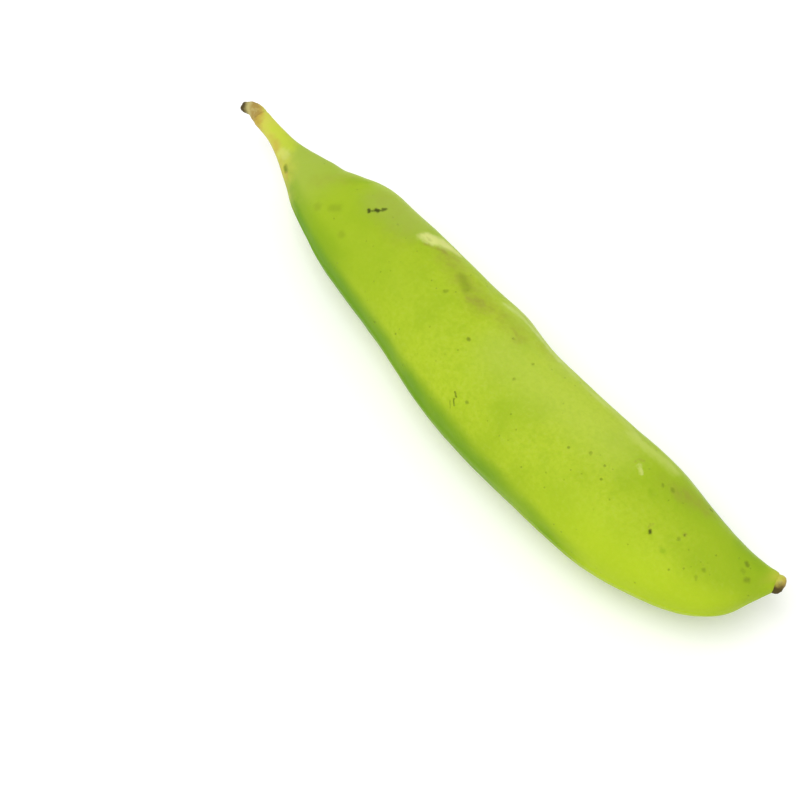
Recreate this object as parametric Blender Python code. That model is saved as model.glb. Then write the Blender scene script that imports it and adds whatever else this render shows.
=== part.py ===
"""A green pea pod lying on one of its valves, with its dried stalk end and its dried style.

The pod lies along X with its stalk at -X and its tip at +X. Its ventral suture, where the peas hang,
is on the +Y side, and its dorsal suture on the -Y side. It rests on Z = 0.
"""
from math import cos, exp, sin

import bmesh
import bpy
from mathutils import Vector

MM = 0.001

# Stations from the neck to the beak, in millimetres: x and y of the ventral suture,
# x and y of the dorsal suture, and the thickness through both valves
STATIONS = (
    (-42.75, 6.70, -43.15, 4.50, 2.2),
    (-39.6, 6.38, -40.2, 4.10, 2.2),
    (-36.2, 6.20, -37.0, 3.10, 2.8),
    (-32.4, 6.70, -33.6, 1.35, 4.4),
    (-28.8, 7.25, -30.0, -0.50, 6.6),
    (-26.4, 8.40, -26.4, -2.00, 8.6),
    (-22.4, 9.45, -21.6, -3.65, 10.3),
    (-17.0, 9.50, -15.4, -5.05, 11.6),
    (-10.0, 8.75, -8.0, -6.45, 12.2),
    (-3.4, 8.15, -1.0, -8.10, 12.5),
    (2.2, 8.10, 5.0, -9.10, 12.6),
    (9.0, 7.00, 12.0, -9.65, 12.6),
    (19.0, 6.70, 20.0, -9.80, 12.3),
    (28.0, 6.65, 28.0, -9.70, 11.3),
    (35.0, 5.55, 34.6, -8.20, 9.4),
    (40.0, 4.95, 39.8, -5.95, 7.0),
    (42.9, 5.05, 43.3, -2.75, 4.7),
    (44.1, 5.40, 44.75, 0.90, 3.0),
    (44.6, 5.60, 45.3, 3.50, 1.8),
)
FULL_THICKNESS = 12.6
RINGS_PER_SPAN = 3
RING_POINTS = 44

# Section of the pod
CROWDING = 0.75
BODY_SQUARENESS = 0.35
VENTRAL_BULK = 0.10
LIP_HEIGHT = 0.30
LIP_OFFSET = 1.0
LIP_WIDTH = 0.55
GROOVE_DEPTH = 0.30
GROOVE_WIDTH = 0.38
RIDGE_HEIGHT = 0.25
RIDGE_WIDTH = 0.60

# Swellings over the peas, between the first and the last
PEA_COUNT = 8
FIRST_PEA_X = -20.0
LAST_PEA_X = 36.5
PEA_SWELLING = 0.34
PEA_SPREAD = 3.0

# Height of the sutures above the surface, which cuts the flat that the pod rests on
SUTURE_HEIGHT = 6.30

# Dried stalk end, from its root at the neck to its broken end: x, y, radius, in millimetres
STALK_PATH = (
    (-43.25, 5.64, 1.08),
    (-43.90, 5.88, 1.12),
    (-44.70, 5.92, 1.02),
    (-45.30, 5.72, 0.98),
    (-45.68, 5.44, 0.88),
)

# Dried style, from its root at the beak to its end: x, y, radius, in millimetres
STYLE_PATH = (
    (45.24, 4.66, 1.00),
    (45.50, 4.74, 1.06),
    (45.78, 4.83, 0.90),
    (45.94, 4.88, 0.55),
)
STYLE_FLATNESS = 0.80
TUBE_BEVEL_RESOLUTION = 4


def clear_scene():
    """Remove what the start-up file holds."""
    for found in list(bpy.data.objects):
        bpy.data.objects.remove(found, do_unlink=True)


def material(name, colour, roughness):
    """Return a Principled material with one colour."""
    made = bpy.data.materials.new(name)
    made.use_nodes = True
    shader = made.node_tree.nodes["Principled BSDF"]
    shader.inputs["Base Color"].default_value = (*colour, 1.0)
    shader.inputs["Roughness"].default_value = roughness
    shader.inputs["Metallic"].default_value = 0.0
    return made


def place(name, data, surface):
    """Put mesh or curve data in the pod's collection as a named object."""
    data.materials.append(surface)
    made = bpy.data.objects.new(name, data)
    bpy.data.collections["pea_pod"].objects.link(made)
    return made


def station_at(position):
    """Read the stations at a running position, on one smooth curve through them all."""
    last = len(STATIONS) - 1
    span = min(int(position), last - 1)
    along = position - span
    before, start, end, after = (STATIONS[min(max(span + step, 0), last)] for step in (-1, 0, 1, 2))
    values = []
    for p0, p1, p2, p3 in zip(before, start, end, after):
        bend = 2 * p0 - 5 * p1 + 4 * p2 - p3
        twist = 3 * (p1 - p2) + p3 - p0
        values.append(p1 + 0.5 * along * (p2 - p0 + along * (bend + along * twist)))
    return values


def hump(distance, width):
    """A smooth bump that is 1 in the middle and dies away at about twice its width."""
    return exp(-(distance / width) ** 2)


def pea_swelling(x, across):
    """Rise of a valve over the peas, which lie a little towards the ventral suture."""
    pitch = (LAST_PEA_X - FIRST_PEA_X) / (PEA_COUNT - 1)
    rise = sum(hump(x - FIRST_PEA_X - pitch * pea, PEA_SPREAD) for pea in range(PEA_COUNT))
    return PEA_SWELLING * rise * hump(across - 0.1, 0.6)


def pod_point(position, angle):
    """Point of the pod's surface at a running position and an angle round the section."""
    ventral_x, ventral_y, dorsal_x, dorsal_y, thickness = station_at(position)
    fullness = thickness / FULL_THICKNESS
    turn = angle - CROWDING * sin(2 * angle) / 2
    power = 2 / (2 + BODY_SQUARENESS * fullness)
    across = abs(cos(turn)) ** power * (1 if cos(turn) > 0 else -1)
    rise = abs(sin(turn)) ** power * (1 if sin(turn) > 0 else -1)
    height = thickness / 2 * rise * (1 + VENTRAL_BULK * across)

    ventral = Vector((ventral_x, ventral_y))
    dorsal = Vector((dorsal_x, dorsal_y))
    outward = (ventral - dorsal).normalized()
    flat = (ventral + dorsal) / 2 + (ventral - dorsal) / 2 * across
    if across > 0:
        lips = LIP_HEIGHT * hump(abs(height) - LIP_OFFSET * fullness, LIP_WIDTH)
        groove = GROOVE_DEPTH * hump(height, GROOVE_WIDTH)
        flat += outward * (lips - groove) * fullness * across
    else:
        flat += outward * RIDGE_HEIGHT * hump(height, RIDGE_WIDTH) * fullness * across
    height += pea_swelling(flat.x, across) * rise * fullness
    return Vector((flat.x, flat.y, max(SUTURE_HEIGHT + height, 0))) * MM


def build_pod():
    """Shape a cylinder, ring by ring, into the closed pod with its neck, sutures and beak."""
    spans = len(STATIONS) - 1
    rings = spans * RINGS_PER_SPAN
    shape = bmesh.new()
    bmesh.ops.create_cone(shape, cap_ends=True, segments=RING_POINTS, radius1=1, radius2=1, depth=2)
    sides = [edge for edge in shape.edges if abs(edge.verts[0].co.z - edge.verts[1].co.z) > 1]
    bmesh.ops.subdivide_edges(shape, edges=sides, cuts=rings - 1, use_grid_fill=True)
    for corner in shape.verts:
        angle = Vector((1, 0)).angle_signed(corner.co.xy)
        position = (1 + corner.co.z) / 2 * spans
        corner.co = pod_point(position, angle)
    bmesh.ops.recalc_face_normals(shape, faces=shape.faces)
    mesh = bpy.data.meshes.new("pod")
    shape.to_mesh(mesh)
    shape.free()
    mesh.shade_smooth()
    return place("pod", mesh, material("pod_skin", (0.36, 0.52, 0.04), 0.40))


def build_tube(name, path, flatness, surface):
    """A short round stem through x, y and radius, at the height of the sutures, with closed ends."""
    curve = bpy.data.curves.new(name, "CURVE")
    curve.dimensions = "3D"
    curve.bevel_depth = MM
    curve.bevel_resolution = TUBE_BEVEL_RESOLUTION
    curve.use_fill_caps = True
    line = curve.splines.new("POLY")
    line.points.add(len(path) - 1)
    for point, (x, y, radius) in zip(line.points, path):
        point.co = (x * MM, y * MM, 0, 1)
        point.radius = radius
    made = place(name, curve, surface)
    made.location.z = SUTURE_HEIGHT * MM
    made.scale.z = flatness
    return made


def build_all():
    """Build the pod and the two dried pieces at its ends."""
    clear_scene()
    collection = bpy.data.collections.new("pea_pod")
    bpy.context.scene.collection.children.link(collection)
    build_pod()
    build_tube("stalk_stub", STALK_PATH, 1.0, material("dried_stalk", (0.40, 0.27, 0.08), 0.75))
    build_tube("style_tip", STYLE_PATH, STYLE_FLATNESS, material("dried_style", (0.35, 0.24, 0.05), 0.70))


build_all()
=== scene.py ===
"""Dresses the pea pod's solids: a fine skin with its marks, the dried stalk end and the dried style.

It also sets a pale floor, soft studio light and the camera. It can be run as a script.
"""

from math import cos, exp, pi, radians, sin
from random import Random

import bpy
import numpy as np
from bpy.props import FloatProperty, FloatVectorProperty, IntProperty, PointerProperty
from bpy.types import NodeSocket, Operator, Panel, PropertyGroup
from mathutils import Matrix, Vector


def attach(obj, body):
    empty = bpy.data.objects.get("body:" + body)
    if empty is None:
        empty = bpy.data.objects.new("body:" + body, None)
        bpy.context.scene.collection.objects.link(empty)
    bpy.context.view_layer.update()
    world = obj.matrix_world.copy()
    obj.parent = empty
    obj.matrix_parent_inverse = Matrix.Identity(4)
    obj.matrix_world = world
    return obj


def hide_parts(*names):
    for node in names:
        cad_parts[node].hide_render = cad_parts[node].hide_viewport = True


bl_info = {
    "name": "Pea pod looks",
    "version": (1, 0, 0),
    "blender": (4, 5, 0),
    "location": "3D View > Sidebar > Pea pod",
    "description": "Dresses a pea pod's solids with a fine skin, dried ends and a plain studio",
    "category": "Object",
}

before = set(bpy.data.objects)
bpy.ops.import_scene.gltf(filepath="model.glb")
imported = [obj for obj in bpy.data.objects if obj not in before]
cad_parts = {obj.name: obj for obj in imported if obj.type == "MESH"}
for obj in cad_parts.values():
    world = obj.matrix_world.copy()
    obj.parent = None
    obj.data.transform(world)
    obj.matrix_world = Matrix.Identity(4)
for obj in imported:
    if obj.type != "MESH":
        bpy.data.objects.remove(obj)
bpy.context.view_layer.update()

MM = 0.001
IMAGE_SIZE = 800

# Stations from the neck to the beak, in millimetres: x and y of the ventral suture, x and y of the
# dorsal suture, and the thickness through both valves. They follow the solids' sections closely.
STATIONS = (
    (-42.75, 6.62, -43.15, 4.50, 2.2),
    (-39.6, 6.30, -40.2, 4.08, 2.2),
    (-36.2, 6.20, -37.0, 2.90, 2.8),
    (-32.4, 6.74, -33.6, 1.17, 4.4),
    (-30.5, 7.12, -31.8, 0.20, 5.4),
    (-28.4, 7.42, -29.6, -0.92, 6.4),
    (-26.4, 8.08, -26.4, -2.15, 8.2),
    (-22.4, 9.23, -21.6, -3.65, 10.3),
    (-17.0, 9.12, -15.4, -4.85, 11.6),
    (-10.0, 8.83, -8.0, -6.35, 12.2),
    (-3.4, 8.45, -1.0, -8.10, 12.5),
    (2.2, 8.24, 5.0, -9.10, 12.6),
    (9.0, 7.02, 12.0, -9.65, 12.6),
    (19.0, 6.78, 20.0, -9.80, 12.3),
    (28.0, 6.70, 28.0, -9.65, 11.3),
    (35.0, 5.47, 34.6, -8.10, 9.4),
    (40.0, 5.02, 39.8, -5.95, 7.0),
    (42.9, 5.15, 43.3, -2.75, 4.7),
    (44.1, 5.43, 44.72, 0.98, 2.8),
    (44.6, 5.52, 45.60, 3.42, 1.6),
)
SUTURE_HEIGHT = 6.30
FULL_HALF_WIDTH = 8.3
FULL_THICKNESS = 12.6
PEA_SEED = 7

# Sections of the dried ends from root to end: x, y, half width, half thickness, in millimetres
STALK_SECTIONS = (
    (-42.50, 5.50, 0.86, 0.88),
    (-42.95, 5.57, 1.07, 1.09),
    (-43.35, 5.66, 1.11, 1.08),
    (-43.80, 5.74, 1.06, 1.02),
    (-44.30, 5.75, 0.98, 0.94),
    (-44.80, 5.71, 0.92, 0.88),
    (-45.20, 5.43, 0.79, 0.82),
    (-45.56, 5.20, 0.67, 0.70),
    (-45.84, 5.12, 0.60, 0.59),
    (-46.02, 5.04, 0.40, 0.39),
)
STYLE_SECTIONS = (
    (44.55, 4.28, 1.00, 0.80),
    (44.95, 4.36, 1.19, 0.92),
    (45.25, 4.42, 1.23, 0.92),
    (45.52, 4.46, 1.20, 0.87),
    (45.77, 4.49, 1.08, 0.76),
    (45.97, 4.52, 0.84, 0.58),
    (46.08, 4.54, 0.50, 0.36),
)

# Directions in the sutures' plane: along the pod, and to the right and down in the picture. The colours
# of the ends change along them.
TO_TIP = (1, 0, 0)
RIGHTWARDS = (0.692, 0.722, 0)
DOWNWARDS = (0.722, -0.692, 0)

# Where a colour begins and where it is full, to the right: the yellow neck, ochre past it, bark past the
# ochre, and straw and char at the broken end. Then the same downwards, for the dark lip under the style.
NECK_START = (-20.0 * MM, -24.0 * MM)
NECK_END = (-25.0 * MM, -26.2 * MM)
COLLAR_END = (-25.9 * MM, -26.7 * MM)
STRAW_START = (-26.8 * MM, -27.3 * MM)
CHAR_START = (-27.2 * MM, -27.9 * MM)
LIP_EDGE = (29.65 * MM, 30.40 * MM)

# How far noise shakes those limits, on the neck and on the dried ends
NECK_SHAKE = 3 * MM
DRIED_SHAKE = 1 * MM

# Where the skin's colours begin and where they are full along the pod. A patch has its middle, its half
# length and the length of its soft ends instead.
BLOTCHED = (0.0, -26 * MM)
STALKWARDS = (2 * MM, -22 * MM)
SHOULDER = (-24 * MM, -32 * MM)
TIPWARDS = (24 * MM, 42 * MM)
# A pale patch of wax and painted sheen beside the ventral suture
BLOOM_PATCH = (-3 * MM, 19 * MM, 10 * MM)
# Where the painted light beside the dorsal suture begins and ends along the pod
GLOW_START = (14 * MM, 32 * MM)
GLOW_END = (46 * MM, 41 * MM)
# Where the dorsal side's own dark green, deepened by painted shade, begins, narrows, swells, widens near the
# neck and ends
FLANK_START = (-37 * MM, -27 * MM)
FLANK_TAPER = (16 * MM, 23 * MM)
FLANK_END = (31 * MM, 22 * MM)
FLANK_BULGE = (6 * MM, 5 * MM, 5.5 * MM)
WIDE_FLANK = (-28 * MM, 6 * MM, 8 * MM)
# Where the same dark green and painted shade begins on the ventral edge near the tip
BELLY_START = (12 * MM, 34 * MM)
# Where the painted highlights on the ventral lips and on the dorsal suture lie along the pod
LIP_START = (-26 * MM, -6 * MM)
LIP_END = (36 * MM, 26 * MM)
RIM_PATCH = (12 * MM, 4 * MM, 8 * MM)
BEAK_START = (43.3 * MM, 45.2 * MM)
BEAK_END = (45.70 * MM, 45.00 * MM)
STYLE_BARK = (45.55 * MM, 46.00 * MM)
PITTED = (-40 * MM, 45 * MM)

# How far the painted highlights on the sutures lie above the sutures' plane, in half thicknesses: middle,
# half width, soft edge
LIP_LIFT = (0.31, 0.14, 0.14)
RIM_LIFT = (0.0, 0.05, 0.10)

# Random pits: their distance, their size as a part of it, and how strongly they cover
PIT_SIZES = ((2.1 * MM, 0.10, 0.60), (1.1 * MM, 0.13, 0.38))

# Kinds of marks, among them painted light, sheen and highlights: with soft ragged edges, with a rough
# surface, and sunk in
CLOUDY_MARKS = ("shade", "shoulder", "bruise", "bloom_and_sheen", "rim", "glow")
DRY_MARKS = ("scar", "bruise")
SUNK_MARKS = ("pit", "dash")

# Marks on the skin, some of them painted light, sheen, shade and highlights: the two ends of a stroke in
# pixels of the
# 800 x 800 picture, its half width in millimetres, the colour's name, and how strongly it covers
MARKS = (
    ((372, 207), (426, 236), 2.00, "shade", 0.40),
    ((384, 202), (412, 224), 2.20, "shoulder", 0.65),
    ((380, 202), (402, 234), 2.00, "bruise", 0.25),
    ((640, 472), (696, 512), 2.40, "shade", 0.42),
    # The same dark green and painted shade at the ventral edge near the tip
    ((740, 545), (760, 565), 0.90, "flank_and_shade", 0.30),
    ((690, 492), (738, 545), 1.90, "shade", 0.35),
    ((748, 560), (756, 584), 2.00, "shade", 0.45),
    # Pale wax and painted sheen on the valve beside the ventral suture
    ((505, 352), (614, 442), 3.20, "bloom_and_sheen", 0.28),
    ((598, 398), (634, 432), 0.60, "bloom_and_sheen", 0.35),
    ((634, 436), (674, 470), 0.80, "bloom_and_sheen", 0.60),
    # Painted highlight on the ventral suture's ridge
    ((507, 305), (538, 335), 0.42, "rim", 0.50),
    ((538, 335), (560, 361), 0.46, "rim", 0.50),
    ((560, 361), (604, 404), 0.50, "rim", 0.30),
    ((318, 181), (352, 179), 1.00, "bruise", 0.32),
    ((352, 180), (366, 182), 0.60, "shade", 0.60),
    ((448, 257), (480, 306), 1.40, "bruise", 0.55),
    ((492, 308), (520, 336), 1.10, "bruise", 0.50),
    ((541, 347), (553, 358), 0.70, "bruise", 0.20),
    ((684, 494), (706, 508), 1.10, "bruise", 0.60),
    ((664, 482), (680, 492), 0.90, "bruise", 0.25),
    ((424, 243), (444, 252), 0.34, "bruise", 0.90),
    ((425, 237), (432, 240), 0.70, "scar", 0.95),
    ((434, 240), (446, 246), 0.82, "scar", 0.85),
    ((446, 246), (458, 254), 0.56, "scar", 0.70),
    ((445, 242), (452, 248), 0.55, "scar", 0.65),
    ((438, 237), (449, 246), 0.45, "scar", 0.40),
    ((428, 239), (431, 240), 0.20, "bruise", 0.40),
    ((444, 253), (450, 257), 0.50, "bruise", 0.70),
    ((463, 277), (467, 289), 0.60, "pit", 0.40),
    ((472, 299), (479, 303), 0.55, "bruise", 0.75),
    ((369, 210), (369, 212), 0.20, "dash", 0.95),
    ((370, 211), (385, 210), 0.14, "dash", 0.65),
    ((376, 210), (378, 211), 0.23, "dash", 1.00),
    ((383, 209), (386, 209), 0.17, "dash", 0.75),
    ((445, 291), (446.4, 291), 0.22, "pit", 0.50),
    ((468, 339), (469, 339.4), 0.19, "pit", 0.75),
    ((455, 392), (456, 397), 0.09, "pit", 0.85),
    ((454, 399), (454, 406), 0.09, "pit", 0.85),
    ((450, 400), (450, 408), 0.07, "pit", 0.35),
    ((467, 402), (467, 402.4), 0.17, "pit", 0.60),
    ((514, 379), (514.4, 379), 0.16, "pit", 0.50),
    ((514, 331), (517, 333), 0.26, "bruise", 1.00),
    ((533, 364), (533.4, 364), 0.16, "pit", 0.50),
    ((591, 453), (591, 453.4), 0.17, "pit", 0.50),
    ((650, 527), (652, 527), 0.18, "bruise", 0.90),
    ((650, 531), (650, 532.5), 0.19, "dash", 0.90),
    ((685, 534), (685, 535.5), 0.18, "bruise", 0.95),
    ((685, 535), (685, 535.4), 0.12, "pit", 0.70),
    ((679, 539), (679, 539.4), 0.18, "pit", 0.50),
    ((663, 485), (663, 485.4), 0.20, "pit", 0.50),
    ((673, 490), (673, 490.4), 0.24, "pit", 0.55),
    ((651, 492), (652, 493), 0.40, "shade", 0.60),
    ((711, 510), (712, 511), 0.15, "pit", 0.90),
    ((663, 550), (664, 551), 0.34, "shade", 0.70),
    ((704, 570), (704, 570.4), 0.22, "pit", 0.50),
    ((696, 577), (696, 577.4), 0.18, "pit", 0.35),
    ((747, 563), (748, 565), 0.22, "pit", 0.75),
    ((743, 571), (744, 572), 0.28, "pit", 0.30),
    ((746, 580), (748.4, 580.4), 0.27, "pit", 0.55),
    ((640, 466), (641, 474), 0.24, "scar", 0.55),
    ((634, 461), (643, 460), 0.16, "bruise", 0.70),
    ((317, 206), (318, 207), 0.46, "pit", 0.28),
    ((332, 208), (338, 208), 0.50, "pit", 0.28),
    ((341, 234), (342, 235), 0.42, "pit", 0.28),
    ((285, 167), (286, 171), 0.30, "pit", 0.85),
    ((286, 173), (287, 178), 0.24, "ochre", 0.40),
    # Painted light: a brighter patch near the neck
    ((276, 128), (290, 146), 0.90, "glow", 0.45),
    ((276, 142), (277, 150), 0.40, "ochre", 0.35),
    ((282, 151), (285, 156), 0.55, "scar", 0.35),
)

# Dents in the skin: a pixel of the same picture, the depth and the half width in millimetres
DENTS = (
    ((356, 188), 0.12, 2.2),
    ((377, 211), 0.14, 1.0),
    ((430, 241), 0.14, 1.4),
    ((466, 285), 0.14, 2.6),
    ((651, 531), 0.14, 0.9),
    ((695, 503), 0.16, 3.0),
)


class SkinSettings(PropertyGroup):
    """Sizes of the pod's skin."""

    ring_points: IntProperty(
        name="Ring points", description="Points round each section of the pod", default=96, min=24)
    rings_per_span: IntProperty(
        name="Rings per span", description="Sections between two stations", default=6, min=1)
    seam_profile: FloatVectorProperty(
        name="Seam profile", size=5, unit="LENGTH",
        description="Rise of the points beside the ventral seam, from its groove outwards",
        default=(-0.34 * MM, 0.0, 0.29 * MM, 0.27 * MM, 0.09 * MM))
    ridge_height: FloatProperty(
        name="Ridge height", description="Rise of the dorsal suture", default=0.25 * MM, unit="LENGTH")
    corner_fullness: FloatProperty(
        name="Corner fullness", description="How far the section is squarer than an oval", default=1.05)
    corner_reach: FloatProperty(
        name="Corner reach", description="How far from a corner that goes, in half widths", default=0.72)
    ventral_bulk: FloatProperty(
        name="Ventral bulk", description="Shift of the thickest place, in half widths", default=0.075)
    bulk_reach: FloatProperty(
        name="Bulk reach", description="How far from that place the shift goes, in half widths", default=1.2)
    pea_count: IntProperty(name="Peas", description="Number of swellings", default=8, min=1)
    first_pea: FloatProperty(
        name="First pea", description="Place of the swelling next to the stalk",
        default=-20.0 * MM, unit="LENGTH")
    last_pea: FloatProperty(
        name="Last pea", description="Place of the swelling next to the tip",
        default=36.5 * MM, unit="LENGTH")
    pea_swelling: FloatProperty(
        name="Pea swelling", description="Rise of each valve over a pea", default=0.30 * MM, unit="LENGTH")
    pea_spread: FloatProperty(
        name="Pea spread", description="Half length of a swelling", default=3.0 * MM, unit="LENGTH")
    pea_drift: FloatProperty(
        name="Pea drift", description="How far a pea strays from its place, in distances", default=0.06)
    pea_variation: FloatProperty(
        name="Pea variation", description="How much a swelling's size varies", default=0.2)
    wave_height: FloatProperty(
        name="Wave height", description="Height of the skin's slow waves", default=0.22 * MM, unit="LENGTH")
    wave_length: FloatProperty(
        name="Wave length", description="Length of the slow waves", default=9.0 * MM, unit="LENGTH")
    ripple_height: FloatProperty(
        name="Ripple height", description="Height of the skin's small ripples",
        default=0.06 * MM, unit="LENGTH")
    ripple_length: FloatProperty(
        name="Ripple length", description="Length of the small ripples", default=1.6 * MM, unit="LENGTH")
    grain_height: FloatProperty(
        name="Grain height", description="Height of the skin's grain", default=0.12 * MM, unit="LENGTH")
    translucency: FloatProperty(
        name="Translucency", description="Share of light that sinks in", default=0.15, min=0, max=1)
    light_depth: FloatProperty(
        name="Light depth", description="How far light sinks in", default=1.2 * MM, unit="LENGTH")
    roughness: FloatProperty(name="Roughness", description="Roughness of the skin", default=0.45)
    sheen: FloatProperty(
        name="Sheen", description="Strength of the skin's reflections", default=0.05, min=0, max=1)


class SkinColours(PropertyGroup):
    """Colours of the pod's skin."""

    face: FloatVectorProperty(
        name="Face", description="Middle of the valves", subtype="COLOR", default=(0.41, 0.54, 0.024))
    face_shade: FloatVectorProperty(
        name="Face shade", description="Darker patches of the valves", subtype="COLOR",
        default=(0.32, 0.46, 0.016))
    shoulder: FloatVectorProperty(
        name="Shoulder", description="Cooler green next to the neck", subtype="COLOR",
        default=(0.36, 0.465, 0.066))
    # The pod's own dark green beside the dorsal suture, darkened further with painted shade; also used on a
    # belly near the tip and on one mark
    flank_and_shade: FloatVectorProperty(
        name="Flank", description="Dark green beside the dorsal suture", subtype="COLOR",
        default=(0.135, 0.30, 0.005))
    # Painted highlight: the pale line where the sutures' ridges catch the light
    rim: FloatVectorProperty(
        name="Rim", description="Pale line on the sutures", subtype="COLOR", default=(0.58, 0.68, 0.20))
    neck: FloatVectorProperty(
        name="Neck", description="Yellow of the neck", subtype="COLOR", default=(0.57, 0.57, 0.080))
    ochre: FloatVectorProperty(
        name="Ochre", description="Ochre patches on the neck", subtype="COLOR", default=(0.50, 0.36, 0.06))
    beak: FloatVectorProperty(
        name="Beak", description="Gold of the beak", subtype="COLOR", default=(0.51, 0.52, 0.055))
    shade: FloatVectorProperty(
        name="Shade", description="Deeper green patches", subtype="COLOR", default=(0.27, 0.42, 0.012))
    # Painted light: bright yellow-green that stands in for light thrown up from the floor
    glow: FloatVectorProperty(
        name="Glow", description="Bright yellow-green beside the dorsal suture", subtype="COLOR",
        default=(0.47, 0.62, 0.020))
    # Pale wax on the skin, also used for a painted sheen where the light's soft reflection lies beside the
    # ventral suture
    bloom_and_sheen: FloatVectorProperty(
        name="Bloom", description="Pale waxy bloom", subtype="COLOR", default=(0.52, 0.62, 0.12))
    scar: FloatVectorProperty(
        name="Scar", description="Dry pale scars", subtype="COLOR", default=(0.64, 0.69, 0.21))
    bruise: FloatVectorProperty(
        name="Bruise", description="Brownish bruises", subtype="COLOR", default=(0.31, 0.32, 0.040))
    pit: FloatVectorProperty(
        name="Pit", description="Dark green pits", subtype="COLOR", default=(0.16, 0.22, 0.012))
    dash: FloatVectorProperty(
        name="Dash", description="Blackish cuts", subtype="COLOR", default=(0.060, 0.075, 0.008))


class DriedSettings(PropertyGroup):
    """Sizes and colours of the two dried ends."""

    ring_points: IntProperty(
        name="Ring points", description="Points round each section of a dried end", default=32, min=8)
    wrinkle_height: FloatProperty(
        name="Wrinkle height", description="Height of the dried wrinkles", default=0.20 * MM, unit="LENGTH")
    stalk_wrinkle_length: FloatProperty(
        name="Stalk wrinkle length", description="Length of the stalk's wrinkles", default=0.7 * MM,
        unit="LENGTH")
    style_wrinkle_length: FloatProperty(
        name="Style wrinkle length", description="Length of the style's wrinkles", default=0.6 * MM,
        unit="LENGTH")
    stalk_rim: FloatProperty(
        name="Stalk rim", description="Width of the rim round the hollow", default=0.18 * MM, unit="LENGTH")
    style_rim: FloatProperty(
        name="Style rim", description="Width of the rim of the style's end", default=0.15 * MM,
        unit="LENGTH")
    hollow_depth: FloatProperty(
        name="Hollow depth", description="Depth of the broken end's hollow", default=0.30 * MM,
        unit="LENGTH")
    fibre_height: FloatProperty(
        name="Fibre height", description="Height of the dried fibres", default=0.20 * MM, unit="LENGTH")
    sheen: FloatProperty(
        name="Sheen", description="Strength of the dried ends' reflections", default=0.3, min=0, max=1)
    bark: FloatVectorProperty(
        name="Bark", description="Brown of the dried stalk", subtype="COLOR", default=(0.38, 0.26, 0.055))
    straw: FloatVectorProperty(
        name="Straw", description="Pale dry patches", subtype="COLOR", default=(0.52, 0.45, 0.16))
    char: FloatVectorProperty(
        name="Char", description="Dark olive brown", subtype="COLOR", default=(0.075, 0.052, 0.008))
    gold: FloatVectorProperty(
        name="Gold", description="Golden side of the style", subtype="COLOR", default=(0.55, 0.47, 0.065))


class StudioSettings(PropertyGroup):
    """Camera, light and floor."""

    azimuth: FloatProperty(
        name="Azimuth", description="Camera's turn round the pod", default=radians(46.21), subtype="ANGLE")
    elevation: FloatProperty(
        name="Elevation", description="Camera's height angle", default=radians(62.0), subtype="ANGLE")
    distance: FloatProperty(
        name="Distance", description="Camera's distance from its aim", default=223.03 * MM, unit="LENGTH")
    aim: FloatVectorProperty(
        name="Aim", description="Point at the picture's centre", subtype="TRANSLATION",
        default=(-0.95 * MM, -9.95 * MM, SUTURE_HEIGHT * MM))
    lens: FloatProperty(name="Lens", description="Focal length in millimetres", default=85.0)
    sensor: FloatProperty(name="Sensor", description="Sensor width in millimetres", default=36.0)
    floor: FloatVectorProperty(
        name="Floor", description="Colour of the floor", subtype="COLOR", default=(0.93, 0.93, 0.92))
    floor_glow: FloatProperty(
        name="Floor glow", description="Light that the floor gives off", default=0.12)
    floor_size: FloatProperty(
        name="Floor size", description="Side of the floor", default=3.0, unit="LENGTH")
    sky_strength: FloatProperty(name="Sky strength", description="Light from all round", default=0.80)
    key_power: FloatProperty(name="Key power", description="Power of the main soft light", default=3.9)
    key_size: FloatProperty(
        name="Key size", description="Side of the main soft light", default=0.7, unit="LENGTH")
    key_place: FloatVectorProperty(
        name="Key place", description="Main soft light, from the aim", subtype="TRANSLATION",
        default=(-0.15, -0.22, 0.91))


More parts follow.
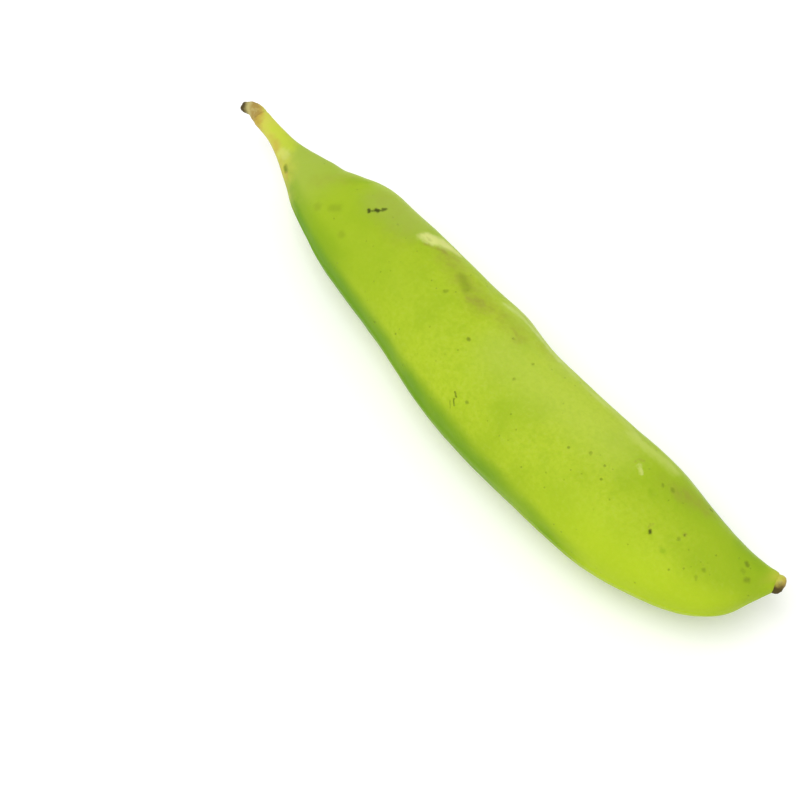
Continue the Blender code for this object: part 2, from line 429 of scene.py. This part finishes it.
class Recipe:
    """Builds one material. Each method adds nodes and returns the socket that holds the result."""

    def __init__(self, name):
        self.material = bpy.data.materials.new(name)
        self.material.use_nodes = True
        self.tree = self.material.node_tree
        self.shader = self.tree.nodes["Principled BSDF"]
        self.place = self.node("ShaderNodeTexCoord").outputs["Object"]

    def feed(self, socket, value):
        """Link a socket to another, or set it to a number, a point or a colour."""
        if isinstance(value, NodeSocket):
            self.tree.links.new(value, socket)
        elif socket.type == "RGBA":
            socket.default_value = (*value[:3], 1.0)
        else:
            socket.default_value = value

    def node(self, kind, feeds=None, **settings):
        """Add a node, with its settings and the inputs in feeds."""
        made = self.tree.nodes.new(kind)
        for name, value in settings.items():
            setattr(made, name, value)
        for key, value in (feeds or {}).items():
            self.feed(made.inputs[key], value)
        return made

    def maths(self, operation, first, second=0.0):
        """Combine two numbers."""
        return self.node("ShaderNodeMath", {0: first, 1: second}, operation=operation).outputs[0]

    def step(self, value, low, high):
        """Rise smoothly from 0 at low to 1 at high. Low may be the larger of the two."""
        flip = low > high
        feeds = {0: value, 1: min(low, high), 2: max(low, high), 3: float(flip), 4: float(not flip)}
        return self.node("ShaderNodeMapRange", feeds, interpolation_type="SMOOTHSTEP").outputs[0]

    def band(self, value, middle, half, soft):
        """1 within half of the middle, and 0 beyond a soft edge."""
        off = self.maths("ABSOLUTE", self.maths("SUBTRACT", value, middle))
        return self.step(off, half + soft, half)

    def noise(self, period, detail=2.0, roughness=0.5, stretch=(1.0, 1.0, 1.0)):
        """Cloudy noise, between about 0.3 and 0.7, whose lumps are about one period apart."""
        scaled = self.node("ShaderNodeVectorMath", {0: self.place, 1: stretch}, operation="MULTIPLY")
        feeds = {"Vector": scaled.outputs[0], "Scale": 1 / period, "Detail": detail, "Roughness": roughness}
        return self.node("ShaderNodeTexNoise", feeds).outputs[0]

    def specks(self, period, size):
        """Small round specks, one in each cell of a period, with a size in cells."""
        feeds = {"Vector": self.place, "Scale": 1 / period}
        cells = self.node("ShaderNodeTexVoronoi", feeds)
        return self.step(cells.outputs["Distance"], size, size * 0.4), cells.outputs["Color"]

    def shaken(self, period, reach):
        """Places shaken by noise, which give the marks on them uneven edges."""
        feeds = {"Vector": self.place, "Scale": 1 / period, "Detail": 3.0}
        shift = self.node("ShaderNodeTexNoise", feeds).outputs["Color"]
        shift = self.node("ShaderNodeVectorMath", {0: shift, 1: (0.5, 0.5, 0.5)}, operation="SUBTRACT")
        feeds = {0: shift.outputs[0], "Scale": reach}
        shift = self.node("ShaderNodeVectorMath", feeds, operation="SCALE").outputs[0]
        return self.vector("ADD", self.place, shift).outputs[0]

    def mix(self, factor, first, second):
        """Blend two colours."""
        made = self.node("ShaderNodeMix", data_type="RGBA")
        self.feed(made.inputs[0], factor)
        self.feed(made.inputs[6], first)
        self.feed(made.inputs[7], second)
        return made.outputs[2]

    def both(self, *masks):
        """Multiply masks."""
        result = masks[0]
        for mask in masks[1:]:
            result = self.maths("MULTIPLY", result, mask)
        return result

    def vector(self, operation, first, second):
        """Combine two points."""
        return self.node("ShaderNodeVectorMath", {0: first, 1: second}, operation=operation)

    def stroke(self, place, start, end, half_width, softness):
        """A soft stroke between two points on the surface."""
        run = end - start
        offset = self.vector("SUBTRACT", place, start).outputs[0]
        along = self.vector("DOT_PRODUCT", offset, run / run.length_squared).outputs["Value"]
        along = self.node("ShaderNodeClamp", {0: along}).outputs[0]
        nearest = self.node("ShaderNodeVectorMath", {0: run, "Scale": along}, operation="SCALE")
        off = self.vector("DISTANCE", offset, nearest.outputs[0]).outputs["Value"]
        return self.step(off, half_width * (1 + softness), half_width * (1 - softness))

    def slant(self, direction, reach):
        """How far a place lies in a direction, shaken by noise that is the same on every piece."""
        side = self.vector("DOT_PRODUCT", self.place, direction).outputs["Value"]
        shift = self.maths("SUBTRACT", self.noise(1.6 * MM, 3.0, 0.6), 0.5)
        return self.maths("ADD", side, self.maths("MULTIPLY", shift, reach))

    def withered(self, dried, base):
        """Dried plant: a base colour with soft patches of straw, crossed by bark-brown fibres."""
        patch = self.noise(0.8 * MM, 3.0, 0.6)
        fibre = self.noise(0.30 * MM, 4.0, 0.7, (0.3, 1.0, 1.0))
        colour = self.mix(self.both(self.step(patch, 0.46, 0.68), 0.8), base, dried.straw)
        return self.mix(self.both(self.step(fibre, 0.40, 0.70), 0.6), colour, dried.bark), patch, fibre

    def bump(self, height, distance):
        """Raise the surface by a height of 0 to 1 times a distance."""
        feeds = {"Height": height, "Distance": distance}
        self.feed(self.shader.inputs["Normal"], self.node("ShaderNodeBump", feeds).outputs[0])


class SkinRecipe(Recipe):
    """Builds the pod's skin, one layer of colour over another."""

    def __init__(self, name, colours):
        super().__init__(name)
        self.colours = colours
        self.colour = colours.face
        section = self.node("ShaderNodeAttribute", attribute_name="section").outputs["Vector"]
        self.across, self.lift, self.along = self.node("ShaderNodeSeparateXYZ", {0: section}).outputs
        self.slow = self.noise(13 * MM, 2.0)
        self.medium = self.noise(3.2 * MM, 3.0, 0.6)
        self.fine = self.noise(0.55 * MM, 3.0, 0.6)
        wander = self.maths("MULTIPLY", self.maths("SUBTRACT", self.slow, 0.5), 0.25)
        self.edge = self.maths("ADD", self.across, wander)

    def lay(self, colour, *masks):
        """Lay a colour over what is there, as strongly as the product of the masks."""
        self.colour = self.mix(self.both(*masks), self.colour, colour)

    def lay_valves(self):
        """Cloudy green, duller towards both ends, with a pale waxy patch and a painted sheen beside the
        ventral suture.
        """
        colours, along = self.colours, self.along
        self.lay(colours.face_shade, self.step(self.slow, 0.42, 0.66), 0.6)
        self.lay(colours.face_shade, self.step(self.medium, 0.46, 0.72), 0.50)
        self.lay(colours.face_shade, self.step(self.fine, 0.46, 0.68), 0.46)
        self.lay(colours.bloom_and_sheen, self.step(self.fine, 0.50, 0.30), 0.12)
        blotches = self.step(self.noise(1.9 * MM, 3.0, 0.6), 0.45, 0.68)
        self.lay(colours.shade, blotches, self.step(along, *BLOTCHED), 0.5)
        self.lay(colours.face_shade, self.step(along, *STALKWARDS), 0.82)
        self.lay(colours.shoulder, self.step(along, *SHOULDER), 0.75)
        self.lay(colours.face_shade, self.step(along, *TIPWARDS), self.step(self.across, -0.75, 0.4), 0.80)
        # Pale wax and a painted sheen: the soft reflection of the light, painted beside the ventral suture
        self.lay(colours.bloom_and_sheen, self.step(self.edge, 0.42, 0.90), self.band(along, *BLOOM_PATCH),
                 self.step(self.medium, 0.35, 0.62), 0.45)

    def lay_flank(self):
        """Painted light near the tip, the dorsal side's own dark green deepened by painted shade, and the
        same on a belly near the tip.
        """
        colours, along = self.colours, self.along
        # Painted light: bright yellow-green on the dorsal side towards the tip
        self.lay(colours.glow, self.step(self.edge, -0.10, -0.80), self.step(along, *GLOW_START),
                 self.step(along, *GLOW_END), 0.6)
        outer = self.maths("ADD", self.edge, self.both(self.step(along, *FLANK_TAPER), 0.03))
        outer = self.maths("SUBTRACT", outer, self.both(self.band(along, *FLANK_BULGE), 0.035))
        outer = self.maths("ADD", outer, 0.015)
        # Painted shade over the pod's own dark green beside the dorsal suture: faint and wide near the neck,
        # then strong along the edge
        self.lay(colours.flank_and_shade, self.step(self.across, -0.50, -0.95), self.band(along, *WIDE_FLANK), 0.50)
        self.lay(colours.flank_and_shade, self.step(outer, -0.84, -0.985), self.step(along, *FLANK_START),
                 self.step(along, *FLANK_END), 0.95)
        # The same dark green and painted shade on a belly along the ventral edge near the tip
        self.lay(colours.flank_and_shade, self.step(self.across, 0.90, 0.985), self.step(along, *BELLY_START), 0.45)

    def lay_sutures(self):
        """Painted highlights: a pale line where the two ventral lips catch the light, and a faint one on the
        dorsal suture.
        """
        self.lay(self.colours.rim, self.step(self.across, 0.87, 0.94), self.band(self.lift, *LIP_LIFT),
                 self.step(self.along, *LIP_END), self.step(self.along, *LIP_START),
                 self.step(self.medium, 0.30, 0.60), 0.7)
        self.lay(self.colours.rim, self.step(self.across, -0.96, -1.0), self.band(self.lift, *RIM_LIFT),
                 self.band(self.along, *RIM_PATCH), 0.15)

    def lay_ends(self, dried):
        """The yellow neck, ochre and then bark where it dries, and the gold beak. Returns the neck."""
        colours = self.colours
        rightwards = self.slant(RIGHTWARDS, NECK_SHAKE)
        neck = self.step(rightwards, *NECK_START)
        self.lay(colours.neck, neck)
        self.lay(colours.ochre, neck, self.step(self.across, 0.0, -0.9), self.step(self.medium, 0.40, 0.58),
                 0.4)
        self.lay(colours.ochre, self.step(rightwards, *NECK_END))
        self.lay(self.withered(dried, dried.bark)[0], self.step(rightwards, *COLLAR_END))
        self.lay(colours.beak, self.step(self.along, *BEAK_START), self.step(self.across, -0.6, 0.6), 0.95)
        return neck

    def lay_pits(self, neck):
        """Random small pits, more of them near the tip and none on the neck. Returns the pits."""
        more_at_tip = self.maths("MULTIPLY", self.step(self.along, *PITTED), 0.35)
        pits = 0.0
        for period, size, cover in PIT_SIZES:
            speck, tint = self.specks(period, size)
            chance = self.node("ShaderNodeSeparateColor", {0: tint}).outputs[0]
            chance = self.maths("SUBTRACT", chance, more_at_tip)
            pits = self.maths("MAXIMUM", self.both(speck, self.step(chance, 0.45, 0.20), cover), pits)
        pits = self.both(pits, self.maths("SUBTRACT", 1.0, neck))
        self.lay(self.colours.pit, pits)
        return pits

    def lay_marks(self, skin, studio, pits):
        """The placed marks. Returns where the skin is dry and rough, and where it is sunk."""
        ragged = self.shaken(1.0 * MM, 1.3 * MM)
        rough_edged = self.shaken(0.5 * MM, 0.35 * MM)
        mottling = self.both(self.step(self.noise(1.2 * MM, 3.0, 0.6), 0.36, 0.68), 0.60)
        mottling = self.maths("ADD", 0.40, mottling)
        dry, sunk = 0.0, pits
        for start, end, half_width, name, cover in MARKS:
            ends = on_skin(skin, studio, start), on_skin(skin, studio, end)
            place = ragged if name in CLOUDY_MARKS or name == "scar" else rough_edged
            softness = 0.9 if name in CLOUDY_MARKS else 0.8
            mark = self.both(self.stroke(place, *ends, half_width * MM, softness), cover)
            if name == "bruise":
                mark = self.both(mark, mottling)
            self.lay(getattr(self.colours, name), mark)
            if name in DRY_MARKS:
                dry = self.maths("MAXIMUM", mark, dry)
            elif name in SUNK_MARKS:
                sunk = self.maths("MAXIMUM", mark, sunk)
        return dry, sunk


def station_at(position):
    """Read the stations at a running position, on one smooth curve through them all."""
    last = len(STATIONS) - 1
    span = min(int(position), last - 1)
    along = position - span
    before, start, end, after = (STATIONS[min(max(span + step, 0), last)] for step in (-1, 0, 1, 2))
    values = []
    for p0, p1, p2, p3 in zip(before, start, end, after):
        bend = 2 * p0 - 5 * p1 + 4 * p2 - p3
        twist = 3 * (p1 - p2) + p3 - p0
        values.append((p1 + 0.5 * along * (p2 - p0 + along * (bend + along * twist))) * MM)
    return values


def only(piece):
    """Make one piece the only selected and active object."""
    bpy.ops.object.select_all(action="DESELECT")
    piece.select_set(True)
    bpy.context.view_layer.objects.active = piece


def pick(piece, chosen):
    """Enter edit mode with the points selected that a test picks by their place."""
    bpy.ops.object.mode_set(mode="EDIT")
    bpy.ops.mesh.select_mode(type="VERT")
    bpy.ops.mesh.select_all(action="DESELECT")
    bpy.ops.object.mode_set(mode="OBJECT")
    for corner in piece.data.vertices:
        corner.select = chosen(corner.co)
    bpy.ops.object.mode_set(mode="EDIT")


def add_ring(name, points):
    """Add a filled ring of radius 1 that faces along X, and return its object."""
    bpy.ops.object.select_all(action="DESELECT")
    bpy.ops.mesh.primitive_circle_add(
        vertices=points, radius=1, fill_type="NGON", rotation=(0, pi / 2, 0))
    bpy.ops.object.transform_apply(location=True, rotation=True, scale=True)
    ring = bpy.context.object
    ring.name = ring.data.name = name
    return ring


def sweep(piece, sections):
    """Extrude a ring through sections, each with its middle, half width, half thickness and turn."""
    pick(piece, lambda place: True)
    middle, wide, tall, turn = Vector((0, 0, 0)), 1.0, 1.0, 0.0
    for number, (new_middle, new_wide, new_tall, new_turn) in enumerate(sections):
        if number:
            bpy.ops.mesh.extrude_region_move()
        bpy.ops.transform.rotate(value=turn, orient_axis="Z", center_override=middle)
        bpy.ops.transform.resize(value=(1, new_wide / wide, new_tall / tall), center_override=middle)
        bpy.ops.transform.rotate(value=-new_turn, orient_axis="Z", center_override=middle)
        bpy.ops.transform.translate(value=new_middle - middle)
        middle, wide, tall, turn = new_middle, new_wide, new_tall, new_turn


def close_up():
    """Point all faces of the edited piece outwards and leave edit mode."""
    bpy.ops.mesh.select_all(action="SELECT")
    bpy.ops.mesh.normals_make_consistent(inside=False)
    bpy.ops.object.mode_set(mode="OBJECT")


def subdivide(piece, levels):
    """Smooth a piece with a Subdivision Surface and apply it."""
    only(piece)
    bpy.ops.object.modifier_add(type="SUBSURF")
    modifier = piece.modifiers[-1]
    modifier.levels = modifier.render_levels = levels
    bpy.ops.object.modifier_apply(modifier=modifier.name)


def displace(piece, kind, height, period):
    """Raise and lower a piece by cloudy noise and apply it."""
    only(piece)
    bpy.ops.object.modifier_add(type="DISPLACE")
    modifier = piece.modifiers[-1]
    modifier.texture = bpy.data.textures.new(f"{piece.name}_{kind}", "CLOUDS")
    modifier.texture.noise_scale = period
    modifier.texture_coords = "LOCAL"
    modifier.strength = height
    bpy.ops.object.modifier_apply(modifier=modifier.name)


def hump(distance, width):
    """A smooth bump that is 1 in the middle and dies away at about twice its width."""
    return exp(-(distance / width) ** 2)


def pod_sections(settings):
    """Work out the pod's sections, with the swellings over its peas, from the stations."""
    uneven = Random(PEA_SEED)
    drift, variation = settings.pea_drift, settings.pea_variation
    pitch = (settings.last_pea - settings.first_pea) / (settings.pea_count - 1)
    peas = []
    for pea in range(settings.pea_count):
        place = settings.first_pea + pitch * (pea + uneven.uniform(-drift, drift))
        peas.append((place, uneven.uniform(1 - variation, 1 + variation)))
    sections = []
    spans = len(STATIONS) - 1
    for ring in range(spans * settings.rings_per_span + 1):
        vx, vy, dx, dy, thickness = station_at(ring / settings.rings_per_span)
        across = Vector((vx - dx, vy - dy))
        middle = Vector(((vx + dx) / 2, (vy + dy) / 2, SUTURE_HEIGHT * MM))
        rise = sum(size * hump(middle.x - place, settings.pea_spread) for place, size in peas)
        tall = thickness / 2 + settings.pea_swelling * rise * thickness / (FULL_THICKNESS * MM)
        turn = Vector((0, 1)).angle_signed(across)
        sections.append((middle, across.length / 2, tall, -turn))
    return sections


def shape_section(ring, settings):
    """Give the pod's ring its lips, seam groove, dorsal ridge, full corners and ventral bulk."""
    half_width = FULL_HALF_WIDTH * MM
    for number, rise in enumerate(settings.seam_profile):
        level = sin(2 * pi * number / settings.ring_points)
        pick(ring, lambda place: place.y > 0.9 and abs(abs(place.z) - level) < 0.01)
        bpy.ops.transform.translate(value=(0, rise / half_width, 0))
    pick(ring, lambda place: place.y < -0.999)
    bpy.ops.transform.translate(value=(0, -settings.ridge_height / half_width, 0))
    pick(ring, lambda place: abs(abs(place.y) - abs(place.z)) < 0.02)
    full = settings.corner_fullness
    bpy.ops.transform.resize(
        value=(1, full, full), center_override=(0, 0, 0), use_proportional_edit=True,
        proportional_edit_falloff="SMOOTH", proportional_size=settings.corner_reach)
    pick(ring, lambda place: abs(place.z) > 0.999)
    bpy.ops.transform.translate(
        value=(0, settings.ventral_bulk, 0), use_proportional_edit=True,
        proportional_edit_falloff="SMOOTH", proportional_size=settings.bulk_reach)


def rest_flat(piece):
    """Flatten what lies below the surface that the pod rests on."""
    pick(piece, lambda place: place.z < 0)
    bpy.ops.transform.resize(value=(1, 1, 0), center_override=(0, 0, 0))
    bpy.ops.object.mode_set(mode="OBJECT")


def press(piece, place, depth, half_width):
    """Press a soft dent into a piece at a place on it."""
    nearest = min(piece.data.vertices, key=lambda corner: (corner.co - place).length_squared)
    inwards = -nearest.normal * depth
    middle = nearest.co.copy()
    pick(piece, lambda corner: corner == middle)
    bpy.ops.transform.translate(
        value=inwards, use_proportional_edit=True, proportional_edit_falloff="SMOOTH",
        proportional_size=half_width, use_proportional_connected=True)
    bpy.ops.object.mode_set(mode="OBJECT")


def note_section(piece, sections):
    """Store for each point how far it is across the section and above its middle, from -1 to 1."""
    places = np.empty(len(piece.data.vertices) * 3)
    piece.data.vertices.foreach_get("co", places)
    x, y, z = places.reshape(-1, 3).T
    middles, wide, tall, turns = zip(*sections)
    ring_x = [middle.x for middle in middles]
    middle_y = np.interp(x, ring_x, [middle.y for middle in middles])
    half_width = np.interp(x, ring_x, wide)
    half_thick = np.interp(x, ring_x, tall)
    across = (y - middle_y) / half_width
    lift = (z - SUTURE_HEIGHT * MM) / half_thick
    noted = piece.data.attributes.new("section", "FLOAT_VECTOR", "POINT")
    noted.data.foreach_set("vector", np.stack([across, lift, x], axis=1).ravel())


def camera_axes(studio):
    """The camera's right, up and back directions."""
    turn, rise = studio.azimuth, studio.elevation
    back = Vector((sin(turn) * cos(rise), -cos(turn) * cos(rise), sin(rise)))
    right = Vector((cos(turn), sin(turn), 0))
    return right, back.cross(right), back


def on_skin(skin, studio, pixel):
    """The point of the skin that the camera sees at a pixel."""
    right, up, back = camera_axes(studio)
    eye = Vector(studio.aim) + back * studio.distance
    scale = studio.sensor / studio.lens / IMAGE_SIZE
    sideways = (pixel[0] - IMAGE_SIZE / 2) * scale
    upwards = (IMAGE_SIZE / 2 - pixel[1]) * scale
    ray = (right * sideways + up * upwards - back).normalized()
    hit, place, normal, face = skin.ray_cast(eye, ray)
    if not hit:
        raise RuntimeError(f"no skin at pixel {pixel}")
    return place


def skin_material(skin, settings, colours, dried, studio):
    """The pod's skin: green valves with a painted sheen, a dark dorsal edge deepened by painted shade,
    painted light near the tip, sutures with painted highlights, yellow neck, gold beak and its marks.
    """
    r = SkinRecipe("pod_skin_finish", colours)
    r.lay_valves()
    r.lay_flank()
    r.lay_sutures()
    neck = r.lay_ends(dried)
    pits = r.lay_pits(neck)
    dry, sunk = r.lay_marks(skin, studio, pits)

    r.feed(r.shader.inputs["Base Color"], r.colour)
    rough = r.maths("ADD", settings.roughness - 0.10, r.maths("MULTIPLY", r.medium, 0.20))
    r.feed(r.shader.inputs["Roughness"], r.maths("ADD", rough, r.maths("MULTIPLY", dry, 0.2)))
    height = r.maths("ADD", r.maths("MULTIPLY", r.fine, 0.30), r.maths("MULTIPLY", r.medium, 0.5))
    height = r.maths("ADD", height, r.maths("MULTIPLY", dry, 0.25))
    r.bump(r.maths("SUBTRACT", height, sunk), settings.grain_height)
    r.shader.inputs["Specular IOR Level"].default_value = settings.sheen
    r.shader.inputs["Subsurface Weight"].default_value = settings.translucency
    r.shader.inputs["Subsurface Radius"].default_value = (0.6, 1.0, 0.15)
    r.shader.inputs["Subsurface Scale"].default_value = settings.light_depth
    return r.material


def dried_material(name, settings, base, layers):
    """A dried end: patches of straw and bark, and layers that each set in along one direction."""
    r = Recipe(name)
    colour, patch, fibre = r.withered(settings, base)
    for layer, direction, reach, limits in layers:
        colour = r.mix(r.step(r.slant(direction, reach), *limits), colour, layer)
    r.feed(r.shader.inputs["Base Color"], colour)
    r.feed(r.shader.inputs["Roughness"], r.maths("ADD", 0.55, r.maths("MULTIPLY", fibre, 0.4)))
    r.bump(r.maths("ADD", r.maths("MULTIPLY", fibre, 0.6), patch), settings.fibre_height)
    r.shader.inputs["Specular IOR Level"].default_value = settings.sheen
    return r.material


def flat_sections(listed):
    """Turn listed sections into places, half widths, half thicknesses and turns along their line."""
    places = [Vector((x * MM, y * MM, SUTURE_HEIGHT * MM)) for x, y, wide, tall in listed]
    sections = []
    for number, (x, y, wide, tall) in enumerate(listed):
        run = places[min(number + 1, len(places) - 1)] - places[max(number - 1, 0)]
        facing = Vector((1 if run.x > 0 else -1, 0))
        sections.append((places[number], wide * MM, tall * MM, -facing.angle_signed(run.xy)))
    return sections


def finish_piece(piece, material, node):
    """Give a piece its material, and set it in the frame in place of its solid."""
    piece.data.materials.clear()
    piece.data.materials.append(material)
    only(piece)
    bpy.ops.object.shade_smooth()
    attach(piece, "root")
    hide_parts(node)


class PEA_POD_OT_skin(Operator):
    """Build the pod's fine skin over its solid"""

    bl_idname = "pea_pod.skin"
    bl_label = "Pod skin"

    def execute(self, context):
        settings = context.scene.pea_pod_skin
        sections = pod_sections(settings)
        skin = add_ring("pod_skin", settings.ring_points)
        shape_section(skin, settings)
        sweep(skin, sections)
        close_up()
        subdivide(skin, 1)
        displace(skin, "waves", settings.wave_height, settings.wave_length)
        displace(skin, "ripples", settings.ripple_height, settings.ripple_length)
        for pixel, depth, half_width in DENTS:
            context.view_layer.update()
            place = on_skin(skin, context.scene.pea_pod_studio, pixel)
            press(skin, place, depth * MM, half_width * MM)
        rest_flat(skin)
        note_section(skin, sections)
        context.view_layer.update()
        scene = context.scene
        finish = skin_material(
            skin, settings, scene.pea_pod_colours, scene.pea_pod_dried, scene.pea_pod_studio)
        finish_piece(skin, finish, "pod")
        return {"FINISHED"}


class PEA_POD_OT_stalk_end(Operator):
    """Build the dried stalk end with its broken, hollow tip"""

    bl_idname = "pea_pod.stalk_end"
    bl_label = "Dried stalk end"

    def execute(self, context):
        settings = context.scene.pea_pod_dried
        stalk = add_ring("stalk_end", settings.ring_points)
        sweep(stalk, flat_sections(STALK_SECTIONS))
        bpy.ops.mesh.inset(thickness=settings.stalk_rim)
        bpy.ops.mesh.extrude_region_move()
        bpy.ops.transform.translate(value=(settings.hollow_depth, settings.hollow_depth * 0.8, 0))
        close_up()
        subdivide(stalk, 2)
        displace(stalk, "wrinkles", settings.wrinkle_height, settings.stalk_wrinkle_length)
        colours = context.scene.pea_pod_colours
        layers = (
            (colours.ochre, RIGHTWARDS, NECK_SHAKE, reversed(COLLAR_END)),
            (colours.neck, RIGHTWARDS, NECK_SHAKE, reversed(NECK_END)),
            (settings.straw, RIGHTWARDS, DRIED_SHAKE, STRAW_START),
            (settings.char, RIGHTWARDS, DRIED_SHAKE, CHAR_START),
        )
        finish = dried_material("dried_stalk_finish", settings, settings.bark, layers)
        finish_piece(stalk, finish, "stalk_stub")
        return {"FINISHED"}


class PEA_POD_OT_style(Operator):
    """Build the dried style at the beak"""

    bl_idname = "pea_pod.style"
    bl_label = "Dried style"

    def execute(self, context):
        settings = context.scene.pea_pod_dried
        style = add_ring("style_end", settings.ring_points)
        sweep(style, flat_sections(STYLE_SECTIONS))
        bpy.ops.mesh.inset(thickness=settings.style_rim)
        close_up()
        subdivide(style, 2)
        displace(style, "wrinkles", settings.wrinkle_height, settings.style_wrinkle_length)
        layers = (
            (context.scene.pea_pod_colours.beak, TO_TIP, 0.0, BEAK_END),
            (settings.bark, TO_TIP, DRIED_SHAKE, STYLE_BARK),
            (settings.char, DOWNWARDS, DRIED_SHAKE, LIP_EDGE),
        )
        finish = dried_material("dried_style_finish", settings, settings.gold, layers)
        finish_piece(style, finish, "style_tip")
        return {"FINISHED"}


class PEA_POD_OT_stage(Operator):
    """Set the floor, the light and the camera"""

    bl_idname = "pea_pod.stage"
    bl_label = "Stage"

    def execute(self, context):
        studio = context.scene.pea_pod_studio
        back = camera_axes(studio)[2]
        self.set_floor(studio)
        self.set_light(context.scene, studio)
        bpy.ops.object.camera_add(location=Vector(studio.aim) + back * studio.distance)
        camera = context.object
        camera.rotation_euler = (-back).to_track_quat("-Z", "Y").to_euler()
        camera.data.lens = studio.lens
        camera.data.sensor_width = studio.sensor
        camera.data.clip_start = 1 * MM
        context.scene.camera = camera
        context.scene.view_settings.view_transform = "Standard"
        return {"FINISHED"}

    def set_floor(self, studio):
        """Lay a plain pale floor under the pod."""
        bpy.ops.object.select_all(action="DESELECT")
        bpy.ops.mesh.primitive_plane_add(size=studio.floor_size)
        floor = bpy.context.object
        floor.name = "floor"
        r = Recipe("floor_finish")
        r.feed(r.shader.inputs["Base Color"], studio.floor)
        r.shader.inputs["Roughness"].default_value = 0.8
        r.feed(r.shader.inputs["Emission Color"], studio.floor)
        r.shader.inputs["Emission Strength"].default_value = studio.floor_glow
        floor.data.materials.append(r.material)

    def set_light(self, scene, studio):
        """Light the pod from all round, and softly from the camera's upper left."""
        world = bpy.data.worlds.new("studio")
        world.use_nodes = True
        sky = world.node_tree.nodes["Background"]
        sky.inputs["Color"].default_value = (1, 1, 1, 1)
        sky.inputs["Strength"].default_value = studio.sky_strength
        scene.world = world
        aim = Vector(studio.aim)
        place = aim + Vector(studio.key_place)
        bpy.ops.object.light_add(type="AREA", location=place)
        key = bpy.context.object
        key.rotation_euler = (aim - place).to_track_quat("-Z", "Y").to_euler()
        key.data.size = studio.key_size
        key.data.energy = studio.key_power


class PEA_POD_PT_panel(Panel):
    """Lists the steps that dress the pea pod"""

    bl_label = "Pea pod"
    bl_idname = "PEA_POD_PT_panel"
    bl_space_type = "VIEW_3D"
    bl_region_type = "UI"
    bl_category = "Pea pod"

    def draw(self, context):
        for operator in OPERATORS:
            self.layout.operator(operator.bl_idname)
        for holder in HOLDERS:
            settings = getattr(context.scene, holder)
            box = self.layout.box()
            for name in settings.__annotations__:
                box.prop(settings, name)


HOLDERS = {
    "pea_pod_skin": SkinSettings,
    "pea_pod_colours": SkinColours,
    "pea_pod_dried": DriedSettings,
    "pea_pod_studio": StudioSettings,
}
OPERATORS = (PEA_POD_OT_skin, PEA_POD_OT_stalk_end, PEA_POD_OT_style, PEA_POD_OT_stage)
CLASSES = (*HOLDERS.values(), *OPERATORS, PEA_POD_PT_panel)


def register():
    """Register the classes and hang the settings on the scene."""
    for item in CLASSES:
        bpy.utils.register_class(item)
    for name, settings in HOLDERS.items():
        setattr(bpy.types.Scene, name, PointerProperty(type=settings))


def unregister():
    """Take the settings and the classes away again."""
    for name in HOLDERS:
        delattr(bpy.types.Scene, name)
    for item in reversed(CLASSES):
        bpy.utils.unregister_class(item)


def main():
    """Build every piece and the stage."""
    register()
    bpy.ops.pea_pod.skin()
    bpy.ops.pea_pod.stalk_end()
    bpy.ops.pea_pod.style()
    bpy.ops.pea_pod.stage()


if __name__ == "__main__":
    main()
